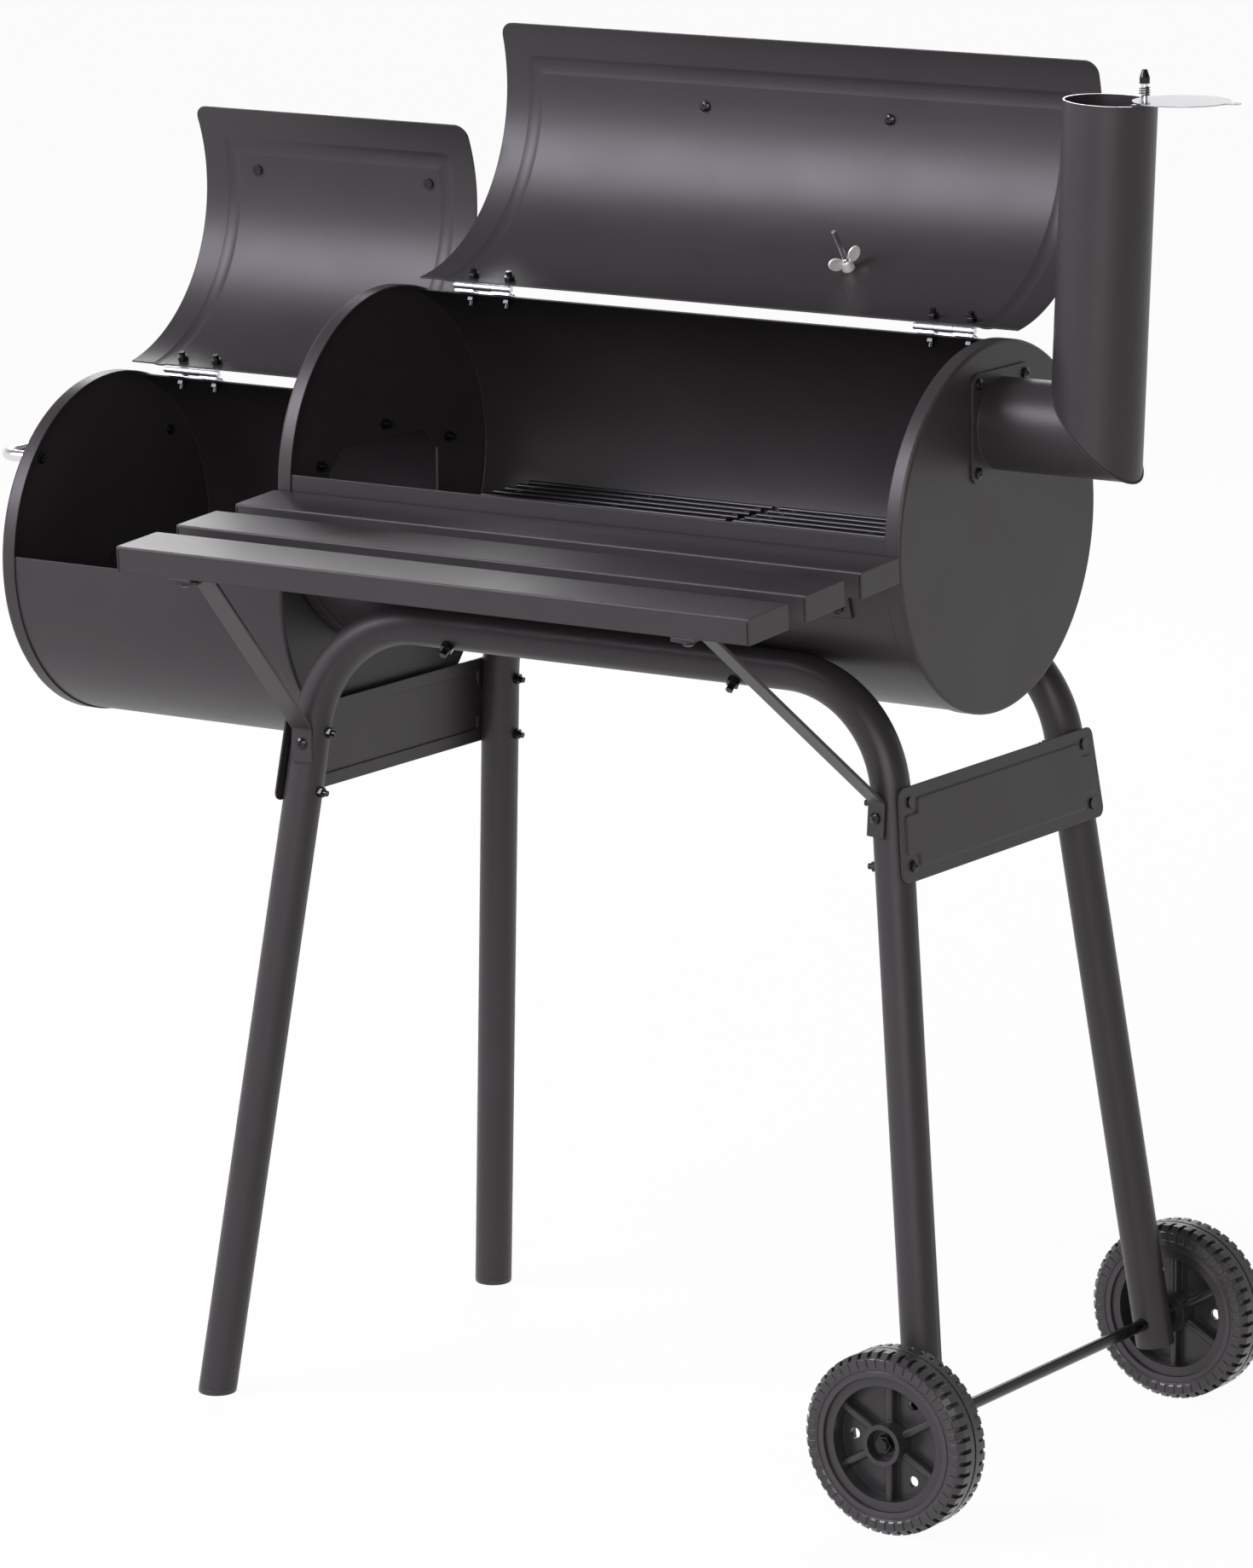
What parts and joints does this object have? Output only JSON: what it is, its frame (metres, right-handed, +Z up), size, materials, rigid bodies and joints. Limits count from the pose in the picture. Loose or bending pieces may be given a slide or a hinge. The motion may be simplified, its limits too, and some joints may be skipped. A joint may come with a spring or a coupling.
{
  "type": "offset smoker",
  "caption": "Offset smoker: a large barrel with a hinged lid and chimney, a smaller firebox with its own lid, a slatted front shelf and a tube frame on wheels and feet.",
  "frame": {"origin": "middle of the footprint on the floor", "axes": "+X along the barrels towards the chimney, -Y towards the front shelf, +Z up"},
  "size_m": [1.1522, 0.6111, 1.1361],
  "materials": {
    "black_coat": "satin black powder coat with a fine grain",
    "black_fasteners": "glossy black coated fasteners",
    "zinc_plate": "bright zinc plate",
    "chrome_plate": "polished chrome plate",
    "black_enamel": "black enamelled wire",
    "wheel_tread": "matt black tread",
    "black_plastic": "moulded black plastic with a light grain",
    "dial_glass": "clear flat glass",
    "dial_needle": "red painted pointer"
  },
  "bodies": {
    "frame": {"front_left_leg": "black_coat", "front_right_leg": "black_coat", "rear_left_leg": "black_coat", "rear_right_leg": "black_coat", "leg_end_caps": "black_plastic", "left_side_plate": "black_coat", "right_side_plate": "black_coat", "side_plate_bolts": "black_fasteners", "axle": "black_fasteners", "axle_nuts": "black_fasteners", "chamber_shell": "black_coat", "chamber_left_cap": "black_coat", "chamber_right_cap": "black_coat", "chamber_bolts": "black_fasteners", "firebox_shell": "black_coat", "firebox_left_cap": "black_coat", "firebox_right_cap": "black_coat", "firebox_bolts": "black_fasteners", "cooking_grate_left": "black_enamel", "cooking_grate_right": "black_enamel", "firebox_grate": "black_enamel", "front_slat": "black_coat", "middle_slat": "black_coat", "rear_slat": "black_coat", "left_shelf_bearer": "black_coat", "right_shelf_bearer": "black_coat", "left_shelf_strut": "black_coat", "right_shelf_strut": "black_coat", "shelf_bolts": "black_fasteners", "chimney_pipe": "black_coat", "chimney_stub": "black_coat", "chimney_bolts": "black_fasteners", "damper_bolt": "chrome_plate", "damper_spring": "chrome_plate", "damper_nut": "black_fasteners", "side_handle": "chrome_plate", "side_handle_bolts": "black_fasteners", "lower_hinge_leaves": "zinc_plate", "hinge_pins": "zinc_plate", "hinge_bolts": "black_fasteners", "air_damper_rivet": "zinc_plate"},
    "main_lid": {"main_lid": "black_coat", "main_lid_handle": "chrome_plate", "main_lid_hinge_leaves": "zinc_plate", "main_lid_bolts": "black_fasteners", "thermometer_case": "chrome_plate", "thermometer_glass": "dial_glass", "thermometer_wing_nut": "chrome_plate"},
    "firebox_lid": {"firebox_lid": "black_coat", "firebox_lid_handle": "chrome_plate", "firebox_lid_hinge_leaves": "zinc_plate", "firebox_lid_bolts": "black_fasteners"},
    "chimney_damper": {"chimney_damper": "zinc_plate"},
    "front_wheel": {"front_wheel_rim": "black_plastic", "front_wheel_tyre": "wheel_tread"},
    "rear_wheel": {"rear_wheel_rim": "black_plastic", "rear_wheel_tyre": "wheel_tread"},
    "air_damper": {"air_damper": "black_coat"},
    "thermometer_needle": {"thermometer_needle": "dial_needle"}
  },
  "joints": [
    {"name": "main_lid_hinge", "type": "hinge", "parent": "frame", "child": "main_lid", "pos_m": [0.0669, 0.10114, 0.91235], "axis": [1, 0, 0], "range_deg": [0, 158.5]},
    {"name": "firebox_lid_hinge", "type": "hinge", "parent": "frame", "child": "firebox_lid", "pos_m": [-0.3811, 0.09755, 0.81766], "axis": [1, 0, 0], "range_deg": [0, 153.4]},
    {"name": "chimney_damper_pivot", "type": "hinge", "parent": "frame", "child": "chimney_damper", "pos_m": [0.4982, 0.06055, 1.10878], "axis": [0, 0, 1], "range_deg": [0, 170]},
    {"name": "front_wheel_spin", "type": "hinge", "parent": "frame", "child": "front_wheel", "pos_m": [0.4097, -0.16345, 0.074], "axis": [0, 1, 0], "continuous": true},
    {"name": "rear_wheel_spin", "type": "hinge", "parent": "frame", "child": "rear_wheel", "pos_m": [0.4097, 0.28455, 0.074], "axis": [0, 1, 0], "continuous": true},
    {"name": "air_damper_pivot", "type": "hinge", "parent": "frame", "child": "air_damper", "pos_m": [-0.5281, 0.06055, 0.6275], "axis": [1, 0, 0], "range_deg": [0, 60]},
    {"name": "thermometer_needle_turn", "type": "hinge", "parent": "main_lid", "child": "thermometer_needle", "pos_m": [0.1574, 0.17197, 0.94129], "axis": [0, -0.5764, 0.8171], "range_deg": [-10, 230]}
  ]
}
